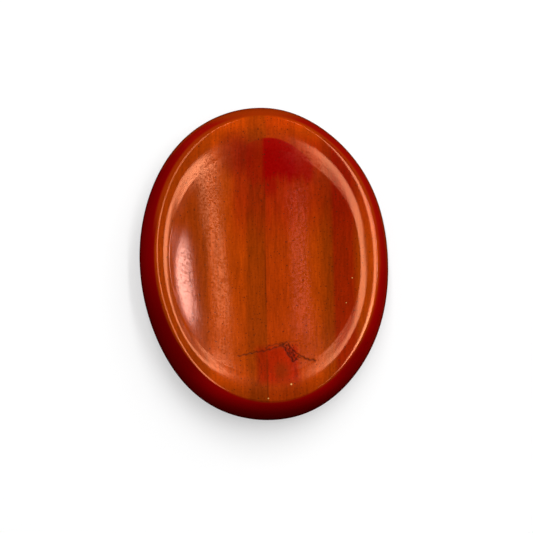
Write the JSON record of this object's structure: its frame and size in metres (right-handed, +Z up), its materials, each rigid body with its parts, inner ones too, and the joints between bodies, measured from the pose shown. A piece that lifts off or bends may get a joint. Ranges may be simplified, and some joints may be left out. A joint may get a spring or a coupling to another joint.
{
  "type": "worry stone",
  "caption": "Polished oval jasper stone with a raised rim round a shallow thumb dish, a rounded girdle and a domed underside with a small flat spot.",
  "frame": {"origin": "middle of the small flat spot that the stone rests on, under the middle of its outline", "axes": "+Z up, out of the thumb dish; +Y along the stone, away from the end with the healed crack; +X across it"},
  "size_m": [0.0354, 0.045, 0.0076],
  "materials": {
    "red_jasper": "polished to a wet gloss on the rim and the wall, a little softer in the thumb dish; orange-brown and brick-red bands run along the stone, deeper red at the edge, with a small healed crack near one end of the dish"
  },
  "bodies": {
    "root": {"stone": "red_jasper"}
  },
  "joints": []
}
